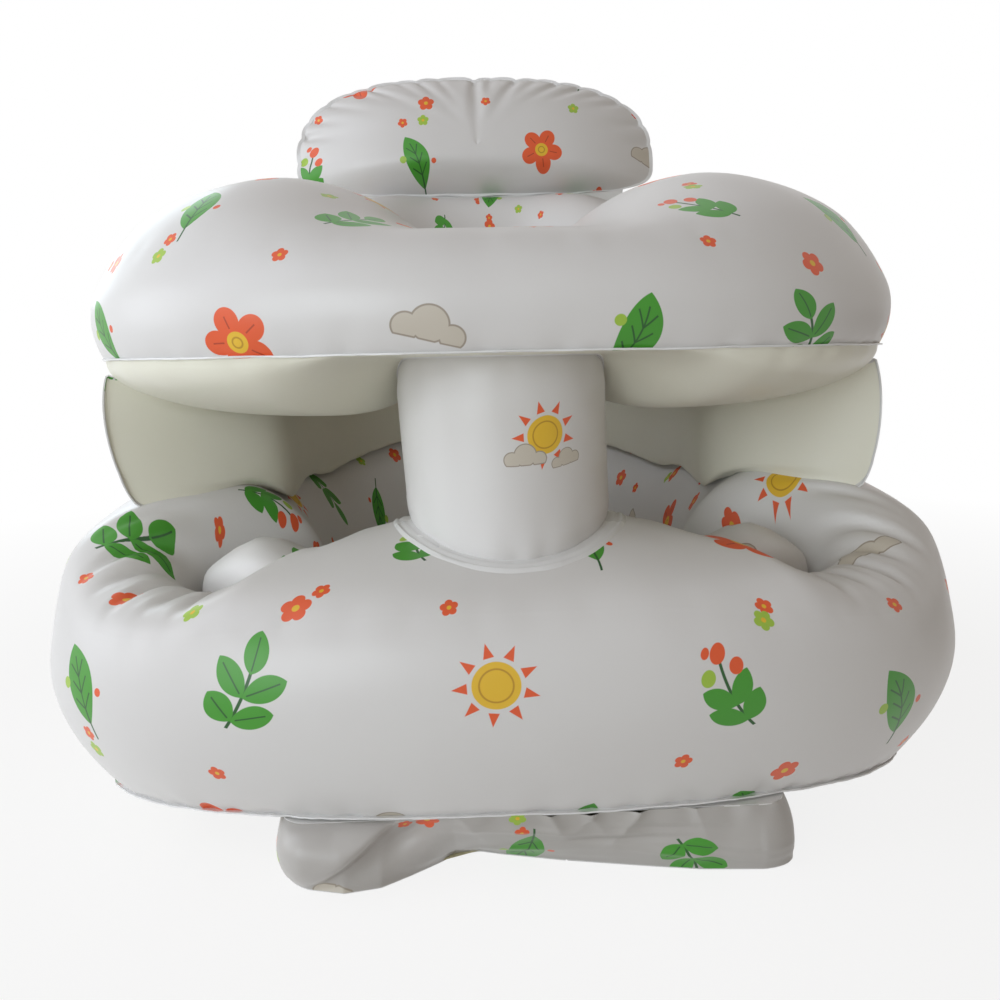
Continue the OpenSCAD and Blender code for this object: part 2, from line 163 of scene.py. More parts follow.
def around(x, y, cy):
    """Angle and radius of a place about (0, cy)."""
    return np.degrees(np.arctan2(y - cy, x)), np.hypot(x, y - cy)


def xyz(x, y, z):
    return np.stack(np.broadcast_arrays(x, y, z), axis=-1)


def running(steps):
    """Sums of steps from 0 on."""
    return np.append(0, np.cumsum(steps))


def oval(t, a, front, back, n_front, n_back):
    """Radius at the angle t of an oval whose front and back halves differ."""
    c, s = np.abs(cosd(t)), np.abs(sind(t))
    e = np.where(sind(t) < 0, n_front, n_back)
    g = np.where(sind(t) < 0, front, back)
    return ((c / a) ** e + (s / g) ** e) ** (-1 / e)


def falling(r, crest, hole, z_crest, z_hole):
    """Height at the radius r of a sheet that rounds off from its crest down to its hole."""
    p = share(r, crest, hole)
    return z_hole + (z_crest - z_hole) * np.maximum(0, 1 - p ** FALL) ** (1 / FALL)


# base ring, about (0, BASE_CY)
def lobes(t):
    """1 at the middle of each leg well and 0 away from them."""
    return sum(hump(turn(t, t0), 18, 4) for t0 in LEG_ANGLES)


def base_side(t):
    """1 at the base's sides and 0 at its front and back."""
    return smooth(np.abs(cosd(t)), 0.25, 0.8)


def base_seam(t):
    return oval(t, BASE_HALF_W, BASE_FRONT, BASE_BACK, 3, 2.4)


def base_foot(t):
    return oval(t, BASE_HALF_W - 16, BASE_FRONT - 14, BASE_BACK, 2.8, 2.4)


def base_hole(t):
    return oval(t, SEAT_HALF_W, 32, 118, 2.4, 2.2) + WELL_REACH * lobes(t)


def base_low(t):
    """Height of the base's bottom seam."""
    return BASE_SEAM_Z - 12 * base_side(t) * smooth(sind(t), -0.9, -0.25)


def base_high(t):
    """Height of the base's top seam."""
    return BASE_Z1 - 12 * base_side(t)


def base_crest(t):
    """Radius of the base's crest, further in at the front."""
    s = base_seam(t)
    return s - (s - base_hole(t)) * (CREST + 0.2 * bell(t, FRONT, FRONT_W))


def base_top(t, r):
    """Height of the base's top sheet."""
    s, h, c = base_seam(t), base_hole(t), base_crest(t)
    rise = (BASE_CROWN * smooth(s - h, -5, 100) + 14 * smooth(sind(t), 0, 0.9)
            + 15 * smooth(np.abs(cosd(t)), 0.8, 0.97) - 10 * bell(t, FRONT, FRONT_W) - 9 * lobes(t))
    z = base_high(t)
    outer = z + rise * sind(90 * share(r, s, c)) ** (0.85 - 0.4 * base_side(t))
    return np.where(r >= c, outer, falling(r, c, h, z + rise, WELD_Z))


def base_top_at(x, y):
    return base_top(*around(x, y, BASE_CY))


# upper ring, about (0, RING_CY)
def ring_seam(t):
    return oval(t, RING_HALF_W, 172, 158, 2.7, 2.4)


def ring_foot(t):
    """Outline of the ring's bottom seam, pressed out by the wall."""
    return ring_seam(t) + 5


def ring_hole(t):
    return oval(t, HOLE_HALF_W, 48, 98, 2.3, 2.3)


RING_ROUND = 0.68  # roundness of the ring's top sheet outside its crest


def ring_rise(t):
    """Height of the ring's crest over its top seam."""
    side = smooth(np.abs(cosd(t)), 0.22, 0.72) * (1 - 0.8 * smooth(sind(t), 0.3, 0.8))
    return 8 + (RING_CROWN - 8) * side + (BACK_RISE - 8) * smooth(sind(t), 0.35, 0.95) + 1.8 * bell(t, 90, 28)


def ring_top_at(x, y):
    """Height of the upper ring's top sheet, outside its crest."""
    t, r = around(x, y, RING_CY)
    s, h = ring_seam(t), ring_hole(t)
    return RING_Z1 + ring_rise(t) * sind(90 * share(r, s, (s + h) / 2)) ** RING_ROUND


def ring_under(t, r):
    """Height of the upper ring's bottom sheet."""
    seam, foot, hole = ring_seam(t), ring_foot(t), ring_hole(t)
    belly = 0.195 * (seam - hole) * (0.05 + 0.95 * smooth(np.abs(cosd(t)), 0.3, 0.56))
    low = (seam + hole) / 2
    return np.where(r >= low, RING_Z0 - belly * sind(90 * share(r, foot, low)) ** 0.45,
                    falling(r, low, hole, RING_Z0 - belly, RING_Z0 + 15))


def ring_under_at(x, y):
    return ring_under(*around(x, y, RING_CY))


# ---- meshes of film
FINE = np.linspace(90, 450, 7201)


def outline_steps(outline):
    """Lengths of an outline from each fine angle to the next."""
    r = outline(FINE)
    return np.hypot(np.diff(r * cosd(FINE)), np.diff(r * sind(FINE)))


def columns(n, *outlines):
    """n angles round a ring, close together where its outlines run long."""
    run = running(sum(outline_steps(outline) for outline in outlines))
    return np.interp(np.arange(n) / n * run[-1], run, FINE)


def seam_run(t, outline):
    """Length along an outline at each angle, with the whole length at the end."""
    run = running(outline_steps(outline))
    return np.append(np.interp(t, FINE, run), run[-1])


def polar(r, t, z, cy):
    """Points at the radii r and angles t about (0, cy), at the heights z."""
    return xyz(r * cosd(t), cy + r * sind(t), z)


def unit(a):
    return a / np.maximum(np.linalg.norm(a, axis=-1, keepdims=True), 1e-9)


def normals(p, wrap):
    """Normals of a grid of points, rows by columns, wrapped round in its columns or not."""
    if wrap:
        du = np.roll(p, -1, 1) - np.roll(p, 1, 1)
    else:
        du = np.gradient(p, axis=1)
    dv = np.gradient(p, axis=0)
    return unit(np.cross(du, dv))


def climb(p):
    """Length down each column of a grid, from its first row."""
    steps = np.linalg.norm(np.diff(p, axis=0), axis=-1)
    return np.concatenate([np.zeros((1, p.shape[1])), np.cumsum(steps, axis=0)])


def lean(z):
    """How far the soft seat leans to its right at the height z."""
    return -2.8 * smooth(z, 130, 215) - 2.6 * smooth(z, 290, 345)


def evenly(p, rows):
    """A grid with its rows spaced evenly along each column."""
    v = climb(p)
    v = v / v[-1:]
    at = np.linspace(0, 1, rows)
    return np.stack([np.stack([np.interp(at, v[:, c], p[:, c, i]) for c in range(p.shape[1])], axis=1)
                     for i in range(3)], axis=-1)


def eased(lower, upper, rows, reach=15.0, turns=44):
    """Two grids that meet at a seam as one grid, without a corner there. rows are the new rows of
    each; the seam is row rows[0] - 1."""
    p = np.concatenate([evenly(lower, rows[0]), evenly(upper, rows[1])[1:]])
    v = climb(p)
    w = 0.5 * hump(v - v[rows[0] - 1], reach)[1:-1, :, None]
    for _ in range(turns):
        p[1:-1] += w * ((p[:-2] + p[2:]) / 2 - p[1:-1])
    return p


def cells(rows, cols, wrap=True):
    """Row and column of each cell of a grid, with the column after it."""
    v, u = np.meshgrid(np.arange(rows - 1), np.arange(cols if wrap else cols - 1), indexing="ij")
    return v.ravel(), u.ravel(), (u.ravel() + 1) % cols


def quads(stride, v, u, w):
    """Corner numbers of the cells, in a grid with stride points to a row."""
    low, high = v * stride, (v + 1) * stride
    return np.stack([low + u, low + w, high + w, high + u], axis=1)


def film(name, p, material, uv=None, wrap=True, out=1, thick=FILM):
    """A closed shell of film from a grid of points in mm. out is the side its normals point to."""
    p = p + lean(p[..., 2:3]) * np.array([1, 0, 0])
    rows, cols = p.shape[:2]
    if uv is None:
        uv = np.zeros((rows, cols + 1, 2))
    n = normals(p, wrap) * out
    inner = p - n * thick
    verts = np.concatenate([p.reshape(-1, 3), inner.reshape(-1, 3)]) * MM
    m = rows * cols
    v, u, w = cells(rows, cols, wrap)
    face, spot = quads(cols, v, u, w), quads(cols + 1, v, u, u + 1)
    if out < 0:
        face, spot = face[:, ::-1], spot[:, ::-1]
    faces, spots = [face, face[:, ::-1] + m], [spot, spot[:, ::-1]]

    def rim(v, u, v_next, u_next):
        """Closes the shell along an edge of the grid."""
        a, b = v * cols + u % cols, v_next * cols + u_next % cols
        sa, sb = v * (cols + 1) + u, v_next * (cols + 1) + u_next
        quad = np.stack([a, b, b + m, a + m], axis=1)
        mark = np.stack([sa, sb, sb, sa], axis=1)
        faces.append(quad if out > 0 else quad[:, ::-1])
        spots.append(mark if out > 0 else mark[:, ::-1])

    u, v = np.arange(cols if wrap else cols - 1), np.arange(rows - 1)
    rim(0, u + 1, 0, u)
    rim(rows - 1, u, rows - 1, u + 1)
    if not wrap:
        rim(v, 0, v + 1, 0)
        rim(v + 1, cols - 1, v, cols - 1)
    faces, spots = np.concatenate(faces), np.concatenate(spots)
    mesh = bpy.data.meshes.new(name)
    mesh.from_pydata(verts.tolist(), [], faces.tolist())
    layer = mesh.uv_layers.new(name="Film")
    layer.data.foreach_set("uv", (uv.reshape(-1, 2)[spots.ravel()] * MM).astype(np.float32).ravel())
    mesh.polygons.foreach_set("use_smooth", [True] * len(mesh.polygons))
    mesh.set_sharp_from_angle(angle=math.radians(60))
    mesh.materials.append(material)
    return add_object(name, mesh)


def grid_uv(p, run, start=0.0, tilt=0.0, shift=(0, 0)):
    """Print coordinates of a band: length along the seam, and length across the film."""
    across = climb(p)
    across = np.concatenate([across, across[:, :1]], axis=1)
    along = np.broadcast_to(run, across.shape)
    return turned(np.stack([along, start + across], axis=-1), tilt, shift)


def turned(uv, tilt, shift):
    """Print coordinates turned by tilt degrees, then moved."""
    c, s = math.cos(math.radians(tilt)), math.sin(math.radians(tilt))
    return uv @ np.array([[c, s], [-s, c]]) + np.array(shift)


def creases(u, v, length, count, depth, reach, seed, width=4.0, wrap=True):
    """Depth of the pinches that run from a seam into the film. u is the length along the seam and
    v the distance from it."""
    rng = np.random.default_rng(seed)
    places = (np.arange(count) + rng.uniform(-0.38, 0.38, count)) * length / count
    sizes = depth * rng.uniform(0.3, 1.0, count)
    reaches = reach * rng.uniform(0.5, 1.4, count)
    slants = rng.uniform(-0.22, 0.22, count)
    total = np.zeros(np.broadcast(u, v).shape)
    for place, size, far, slant in zip(places, sizes, reaches, slants):
        d = u - place - slant * v
        if wrap:
            d = (d + length / 2) % length - length / 2
        wide = width * (1 + v / (0.8 * far))
        total += size * hump(v, far, 1.3) * (hump(d, wide) - 0.45 * hump(d, 2.2 * wide))
    return total


def ripple(u, v, seed, waves, size):
    """Slow unevenness of the blown film."""
    rng = np.random.default_rng(seed)
    total = 0
    for _ in range(waves):
        k = rng.uniform(0.01, 0.05, 2)
        a = rng.uniform(0, 2 * math.pi, 2)
        total = total + np.sin(k[0] * u + a[0]) * np.sin(k[1] * v + a[1])
    return size * total / waves


# ---- materials
def plug(tree, node, inputs):
    """Sets a node's inputs, by name or number, to numbers, colours, Values or sockets."""
    for name, value in inputs.items():
        if isinstance(value, Value):
            value = value.socket
        if isinstance(value, bpy.types.NodeSocket):
            tree.links.new(value, node.inputs[name])
        else:
            node.inputs[name].default_value = value
    return node


def add_node(tree, kind, inputs=None):
    return plug(tree, tree.nodes.new("ShaderNode" + kind), inputs or {})


class Value:
    """A number in a shader that can be reckoned with."""

    def __init__(self, tree, socket):
        self.tree, self.socket = tree, socket

    def node(self, kind, *others, clamp=False):
        made = add_node(self.tree, "Math")
        made.operation, made.use_clamp = kind, clamp
        return Value(self.tree, plug(self.tree, made, dict(enumerate((self,) + others))).outputs[0])

    __add__ = partialmethod(node, "ADD")
    __sub__ = partialmethod(node, "SUBTRACT")
    __mul__ = partialmethod(node, "MULTIPLY")
    __mod__ = partialmethod(node, "FLOORED_MODULO")
    abs = partialmethod(node, "ABSOLUTE")
    floor = partialmethod(node, "FLOOR")
    least = partialmethod(node, "MINIMUM")
    most = partialmethod(node, "MAXIMUM")

    def away(self, o):
        """Length of (self, o)."""
        return (self * self + o * o).node("SQRT")

    def inked(self, soft=0.22):
        """1 inside a signed distance in mm, 0 outside."""
        return self.node("MULTIPLY_ADD", -1.0 / soft, 0.5, clamp=True)

    def is_number(self, n):
        """1 where self, a whole number, is n, and 0 elsewhere."""
        return self.node("GREATER_THAN", n - 0.001) * self.node("LESS_THAN", n + 0.999)


# the print's motifs: each gives its shapes, as signed distances in mm, with their inks
def leaf(x, y, long, half):
    """Signed distance to a pointed leaf from (0, 0) to (0, long)."""
    h = long / 2
    r = (h * h + half * half) / (2 * half)
    return (x.abs() + (r - half)).away(y - h) - r


def spun(x, y, degrees):
    """x and y turned by an angle."""
    c, s = math.cos(math.radians(degrees)), math.sin(math.radians(degrees))
    return x * c - y * s, x * s + y * c


def folded(x, y, arms):
    """x and y folded into one arm of a rosette."""
    angle = y.node("ARCTAN2", x)
    step = 2 * math.pi / arms
    arm = angle % step - step / 2
    r = x.away(y)
    return r * arm.node("COSINE"), r * arm.node("SINE"), r


GREEN, DARK_GREEN, PALE_GREEN = (0.055, 0.30, 0.022), (0.012, 0.085, 0.012), (0.36, 0.55, 0.06)
ORANGE, DARK_ORANGE = (0.78, 0.11, 0.03), (0.45, 0.05, 0.015)
YELLOW, DARK_YELLOW = (0.80, 0.50, 0.035), (0.52, 0.27, 0.02)
BEIGE, DARK_BEIGE = (0.60, 0.55, 0.47), (0.36, 0.31, 0.25)


def sprig(x, y):
    bent = x + y * y * 0.012
    ink = [((bent.abs() - 0.6).most(y.abs() - 15.0), DARK_GREEN), (leaf(bent, y - 5.0, 14.0, 4.6), GREEN)]
    veins = [(bent.abs() - 0.28).most(leaf(bent, y - 6.0, 11.0, 3.0))]
    for low, long, tilt in ((-3.0, 16.5, 52), (-12.0, 14.0, 60)):
        lx, ly = spun(bent.abs(), y - low, tilt)
        ink.append((leaf(lx, ly, long, 4.4), GREEN))
        veins.append((lx.abs() - 0.28).most(leaf(lx, ly - 1.5, long - 4, 3.0)))
    return ink + [(vein, DARK_GREEN) for vein in veins]


def blossom(x, y):
    px, py, r = folded(x, y, 5)
    petal = (px - 8.2).away(py * 1.12) - 5.6
    vein = (py.abs() - 0.3).most((px - 8.0).abs() - 2.4)
    return [(petal, ORANGE), (vein, DARK_ORANGE), (r - 4.2, YELLOW), ((r - 2.0).abs() - 0.35, DARK_YELLOW)]


def sun(x, y):
    px, py, r = folded(x, y, 9)
    ray = (py.abs() + px * 0.36 - 5.1).most(px * -1.0 + 9.2)
    return [(ray, ORANGE), (r - 7.8, YELLOW), ((r - 5.4).abs() - 0.3, DARK_YELLOW)]


def fern(x, y):
    bent = x + y * y * 0.009
    stem = (bent.abs() - 0.5).most((y + 15.0).abs() - 6.0)
    ink = [(leaf(bent, y + 15.0, 31.0, 7.6), GREEN), (stem, DARK_GREEN)]
    for low, tilt in ((-9.0, 44), (-3.0, 38), (3.0, 32)):
        lx, ly = spun(bent.abs(), y - low, tilt)
        ink.append(((lx.abs() - 0.35).most((ly - 3.6).abs() - 3.4), DARK_GREEN))
    middle = (bent.abs() - 0.35).most(y.abs() - 11.0)
    dots = [((x + 9.0).away(y - 3.0) - 2.2, PALE_GREEN), ((x - 9.4).away(y + 5.0) - 1.6, ORANGE)]
    return ink + [(middle, DARK_GREEN)] + dots


def cloud(x, y):
    left, right = (x + 8.0).away(y + 0.8) - 5.4, (x - 8.6).away(y + 1.2) - 5.0
    body = left.least(x.away(y - 2.0) - 7.2).least(right).most(y * -1.0 - 4.6)
    return [(body, DARK_BEIGE), (body + 0.7, BEIGE)]


def berries(x, y):
    bent = x - y * y * 0.014
    ink = [((bent.abs() - 0.55).most(y.abs() - 14.0), DARK_GREEN)]
    for low, tilt in ((-11.0, 48), (-4.0, 42)):
        lx, ly = spun(bent.abs(), y - low, tilt)
        ink.append((leaf(lx, ly, 13.0, 3.6), GREEN))
    for bx, by, br in ((0, 14.5, 3.1), (-5.4, 9.0, 2.7), (5.4, 8.0, 2.7), (-4.6, 16.6, 1.7)):
        ink.append(((bent - bx).away(y - by) - br, PALE_GREEN if bx < -5 else ORANGE))
    return ink


MOTIFS = (sprig, sun, berries, fern, blossom, cloud, fern)
PITCH_U, PITCH_V = 74.0, 63.0  # from one motif to the next, along and across the film
# small flowers: seed, size, pitch and ink
FLOWERS = ((7.0, 1.0, PITCH_U, ORANGE), (11.0, 0.6, PITCH_U * 0.73, ORANGE),
           (17.0, 0.7, PITCH_U * 1.31, PALE_GREEN))


def tinted(tree, ink, mask, below):
    """A colour socket: below, with the ink over it where the mask is 1."""
    mix = add_node(tree, "Mix")
    mix.data_type = "RGBA"
    return plug(tree, mix, {"Factor": mask, 6: below, 7: (*ink, 1)}).outputs[2]


def parts(tree, kind, source):
    """The three numbers of a colour or a place."""
    return [Value(tree, part) for part in add_node(tree, kind, {0: source}).outputs[:3]]


def scattered(tree, u, v, pitch_u, pitch_v, seed, jitter, swing):
    """Cells in staggered rows. Gives the place in a cell, turned and shifted by chance, with the
    cell's column and row and a number by chance."""
    row = (v * (1 / pitch_v)).floor()
    across = u + (row % 2.0) * (pitch_u / 2)
    col = (across * (1 / pitch_u)).floor()
    cell = add_node(tree, "CombineXYZ", {0: col, 1: row, 2: seed})
    chance = add_node(tree, "TexWhiteNoise", {"Vector": cell.outputs[0]})
    a, b, c = parts(tree, "SeparateColor", chance.outputs["Color"])
    x = across - (col + 0.5) * pitch_u + (a - 0.5) * jitter
    y = v - (row + 0.5) * pitch_v + (b - 0.5) * jitter
    angle = (c - 0.5) * swing
    cs, sn = angle.node("COSINE"), angle.node("SINE")
    return x * cs - y * sn, x * sn + y * cs, col, row, Value(tree, chance.outputs["Value"])


def add_print(tree, color, only=None):
    """The film's print: sprigs, suns, berries, ferns, blossoms and clouds, with small flowers
    between. only is the place, in mm, of one sun over two clouds, and of nothing else."""
    uv = add_node(tree, "UVMap")
    uv.uv_map = "Film"
    u, v = (part * (1 / MM) for part in parts(tree, "SeparateXYZ", uv.outputs[0])[:2])
    if only:
        x, y = u - only[0], v - only[1]
        clouds = cloud((x + 8.0) * 1.5, (y + 7.5) * 1.5) + cloud((x - 10.0) * -1.9, (y + 11.0) * 1.9)
        for distance, ink in sun(x - 1.0, y - 1.0) + clouds:
            color = tinted(tree, ink, distance.inked(), color)
        return color
    x, y, col, row, _ = scattered(tree, u, v, PITCH_U, PITCH_V, 3.0, 12.0, 1.1)
    which = (col + row * 2.0 + 40.0) % float(len(MOTIFS))
    for number, motif in enumerate(MOTIFS):
        here = which.is_number(number)
        for distance, ink in motif(x, y):
            color = tinted(tree, ink, distance.inked() * here, color)
    for seed, size, pitch, ink in FLOWERS:
        beside = u + 31.0 + seed, v + PITCH_V / 2
        x, y, _, _, chance = scattered(tree, *beside, pitch, PITCH_V, seed, 14.0, 6.0)
        px, py, r = folded(x, y, 5)
        petal = (px - 3.1 * size).away(py) - 2.3 * size
        here = chance.node("LESS_THAN", 0.62)
        color = tinted(tree, ink, petal.inked() * here, color)
        color = tinted(tree, YELLOW, (r - 1.3 * size).inked() * here, color)
    return color


def noise(tree, scale, detail, coords):
    return add_node(tree, "TexNoise", {"Scale": scale, "Detail": detail, "Vector": coords}).outputs[0]


def ramp(tree, source, low, high, start=0.3, end=0.7):
    """low up to start in the source and high from end on, with a straight rise between."""
    made = add_node(tree, "MapRange", {"Value": source, "From Min": start, "From Max": end,
                                       "To Min": low, "To Max": high})
    return Value(tree, made.outputs[0])


def new_material(name):
    material = bpy.data.materials.new(name)
    material.use_nodes = True
    return material, material.node_tree, material.node_tree.nodes["Principled BSDF"]


GRAIN_HEIGHT = 0.4 * MM


def vinyl(name, color, deep, printed=False, rough=(0.34, 0.46), bump=0.05, grain=1100.0, coat=0.12):
    """Soft plastic film. deep is the colour that shows in its uneven tint."""
    material, tree, shader = new_material(name)
    place = add_node(tree, "TexCoord").outputs["Object"]
    shade = tinted(tree, deep, ramp(tree, noise(tree, 9.0, 2.0, place), 0.0, 1.0), (*color, 1))
    if printed:
        shade = add_print(tree, shade, only=printed if isinstance(printed, tuple) else None)
    knob = add_node(tree, "Bump", {"Strength": bump, "Distance": GRAIN_HEIGHT,
                                   "Height": noise(tree, grain, 2.0, place)})
    plug(tree, shader, {"Base Color": shade, "Normal": knob.outputs[0],
                        "Roughness": ramp(tree, noise(tree, 14.0, 3.0, place), *rough),
                        "Specular IOR Level": 0.42, "Coat Weight": coat, "Coat Roughness": 0.22})
    return material


PALE_TINTS = (0.745, 0.735, 0.725), (0.705, 0.69, 0.68)
POST_MOTIF = (66.5, 50.0)  # on the post's front
PRINTED = vinyl("printed_film", *PALE_TINTS, printed=True)
# pump pad film: darker than the other printed film, partly for the grey foam under it and partly as painted
# shade for the shade under the base's overhang
PAD_FILM_PAINTED_SHADE = vinyl("pad_film_painted_shade", (0.50, 0.48, 0.46), (0.44, 0.42, 0.395), printed=True, bump=0.12,
                  grain=700.0)
POST_PRINT = vinyl("post_film", *PALE_TINTS, printed=POST_MOTIF)
WHITE = vinyl("white_film", (0.76, 0.755, 0.745), (0.72, 0.71, 0.70))
CREAM = vinyl("cream_film", (0.83, 0.82, 0.71), (0.80, 0.785, 0.66))
WELD = vinyl("weld_film", (0.80, 0.80, 0.80), (0.76, 0.755, 0.755), rough=(0.25, 0.36), coat=0.25)
MOULDED = vinyl("moulded_vinyl", (0.72, 0.74, 0.75), (0.68, 0.70, 0.72), rough=(0.2, 0.3), coat=0.3,
                 grain=500.0)
FLAP = vinyl("flap_film", (0.55, 0.58, 0.60), (0.50, 0.53, 0.55), rough=(0.15, 0.25), coat=0.3)
FOAM = vinyl("foam", (0.62, 0.57, 0.36), (0.52, 0.47, 0.28), rough=(0.85, 0.95), bump=0.9, grain=700.0,
             coat=0.0)


def sheet(name, p, material, slot, nodes=(), fill=None, uv=None, body="seat", **form):
    """A film on its body, in place of its CAD nodes."""
    piece = film(name, p, material, uv, **form)
    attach(piece, body)
    if nodes:
        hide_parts(*nodes)
    return piece


def sunk(p, n, depth):
    """A grid of points moved against its normals by a depth."""
    return p - n * depth[..., None]


# ---- base ring
BASE_COLS = 560
base_t = columns(BASE_COLS, base_seam, base_hole)
base_run = seam_run(base_t, base_seam)
BASE_LENGTH = base_run[-1]
VALVE_FLAT, VALVE_REACH = 13.0, 30.0  # the film is flat within the one and its own beyond the other


def valve_plane(flange):
    """The plane y of the film just under a valve's flange."""
    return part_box(flange)[0][1] / MM - 0.05


def flatten_at(p, z0, plane):
    """Draws the film in behind a valve's flange, to a plane."""
    y = p[..., 1]
    w = 1 - smooth(np.hypot(p[..., 0] + lean(z0), p[..., 2] - z0), VALVE_FLAT, VALVE_REACH)
    p[..., 1] = np.where(y > max(plane, 0), y + w * (plane - y), y)
    return p


def skin(ring, p, band_rows, dent, run, valve_z, print_place, scale=1.0):
    """A ring's side band and top sheet, which meet at its seam."""
    p = flatten_at(sunk(p, normals(p, True), dent), valve_z, valve_plane(ring + "_valve_flange"))
    uv = grid_uv(p, run, *print_place) * scale
    band, rest = slice(0, band_rows), slice(band_rows - 1, None)
    for part, rows, nodes in (("band", band, ["_side_band"]), ("top", rest, ["_top_sheet", "_air"])):
        nodes = [ring + node for node in nodes]
        sheet(ring + "_%s_film" % part, p[rows], PRINTED, "printed_film", nodes, 0.9, uv[rows])


# folds at a leg well: degrees from its middle, depth and length
WELL_FOLDS = ((-15, 2.0, 15), (-10.5, 3.0, 20), (-6.5, 2.2, 17), (-2, 3.2, 22), (3, 2.4, 18), (7.5, 3.0, 21),
              (12, 2.2, 16), (17, 2.0, 14))
TO_CREST = 30  # rows of points from the base's seam to its crest
TUCK_Z = 30  # the top sheet's lower edge, beside the cushion


def base_band_grid():
    """The side band, from its foot to its seam."""
    t = base_t[None, :]
    s, b = base_seam(t), base_foot(t)
    g = column(26)
    r = b + (s - b) * g + (BASE_SWELL + 1.5) * sind(180 * g) ** (0.8 + 0.25 * smooth(g, 0.3, 0.9))
    return polar(r, t, base_low(t) + (base_high(t) - base_low(t)) * g, BASE_CY)


def base_top_grid():
    """The top sheet, from its seam over its crest and down beside the cushion."""
    t = base_t[None, :]
    s, h, c = base_seam(t), base_hole(t), base_crest(t)
    f = 1 - cosd(column(TO_CREST, 0, 90))
    q = column(TO_CREST - 1, 0, 90)[1:]
    down = column(6)[1:]
    outer = s + (c - s) * f
    r = np.concatenate([outer, h + (c - h) * (1 - sind(q) ** (2 / FALL)), h + 0 * down])
    inside = WELD_Z + (base_top(t, c) - WELD_Z) * np.maximum(cosd(q), 0) ** (2 / FALL)
    z = np.concatenate([base_top(t, outer), inside, WELD_Z + (TUCK_Z - WELD_Z) * down + 0 * t])
    z[0] = base_high(t)[0]
    return polar(r, t, z, BASE_CY)


def make_base():
    band_rows, top_rows = 40, 66
    top = base_top_grid()
    p = eased(base_band_grid(), top, (band_rows, top_rows))
    v = climb(p)
    seam = v[band_rows - 1:band_rows]
    u = base_run[:-1]
    dent = (creases(u, v, BASE_LENGTH, 84, 1.5, 13, 8)
            + creases(u, np.abs(v - seam), BASE_LENGTH, 52, 0.55, 11, 9))
    # folds that run out over the near rim of each leg well
    past = v - seam - climb(top)[TO_CREST - 1]
    r = around(p[..., 0], p[..., 1], BASE_CY)[1]
    for t0, side in zip(LEG_ANGLES, (1, -1)):
        for off, size, long in WELL_FOLDS:
            d = (turn(base_t[None, :], t0 + side * off) + side * 0.06 * past) * np.pi / 180 * r
            valley = hump(d, 2.6 + 0.035 * np.abs(past)) - 0.4 * hump(np.abs(d) - 5, 2.4)
            dent = dent + size * valley * hump(past - 2, long)
    skin("base", p, band_rows, dent, base_run, BASE_SEAM_Z + BASE_BAND_H / 2, (7, 3, (40, 5)), 0.85)


def make_base_bottom():
    t = base_t[None, ::2]
    b, h = base_foot(t), base_hole(t)
    k = column(26)
    z0 = base_low(t)
    z = z0 * np.maximum(0, 1 - (b - h) * k / 68) ** 1.25 + TUCK_Z * np.maximum(0, (k - 0.68) / 0.32) ** 1.7
    r = b + (h - b) * k
    x, y = r * cosd(t), BASE_CY + r * sind(t)
    over_pump = (1 - smooth(y, BASE_CY - 42, BASE_CY - 12)) * (1 - smooth(np.abs(x - 6), 142, 170))
    z = np.maximum(np.maximum(z, 0.1), over_pump * PUMP_Z)
    z[0] = z0[0]
    p = polar(r, t, z, BASE_CY)
    uv = grid_uv(p, base_run[::2])
    sheet("base_bottom_film", p, CREAM, "plain_film", ["base_bottom_sheet"], 0.9, uv, out=-1)


def seam_bead(name, line, away, width, height, seed, wrap=True):
    """A pressed weld edge that stands out from a seam. line and away are per column."""
    rng = np.random.default_rng(seed)
    cols = line.shape[0]

    def wave(span):
        return np.convolve(rng.normal(size=cols), np.ones(span) / span, mode="same")[:, None]

    reach = width * (1 + 0.25 * wave(5))
    lift = height * wave(9) * np.array([0, 0, 1.0])
    p = np.stack([line - 0.6 * away] + [line + out * reach * away + up * lift
                                        for out, up in ((0.35, 0.4), (0.7, 1.0), (1.0, 0.6))])
    sheet(name, p, WELD, "weld", wrap=wrap, thick=0.7)


def round_bead(name, t, outline, z, cy, width, height, seed):
    """The bead of a seam that runs round a ring."""
    seam_bead(name, polar(outline(t), t, z, cy), polar(1, t, 0, 0), width, height, seed)


# ---- seat cushion
def seat_height(x, y, s):
    """Height of the cushion at the share s of the way to its rim."""
    dip = 22 * np.exp(-((y - BASE_CY - 35) / 60) ** 2 - (x / 80) ** 2)
    well = 19 * np.exp(-((np.abs(x) - 114) / 26) ** 2 - ((y - BASE_CY + 84) / 32) ** 2)
    full = 8 + 36 * lobes(around(x, y, BASE_CY)[0])
    return WELD_Z + 12 + (SEAT_SWELL - dip + well) * (1 - s ** full)


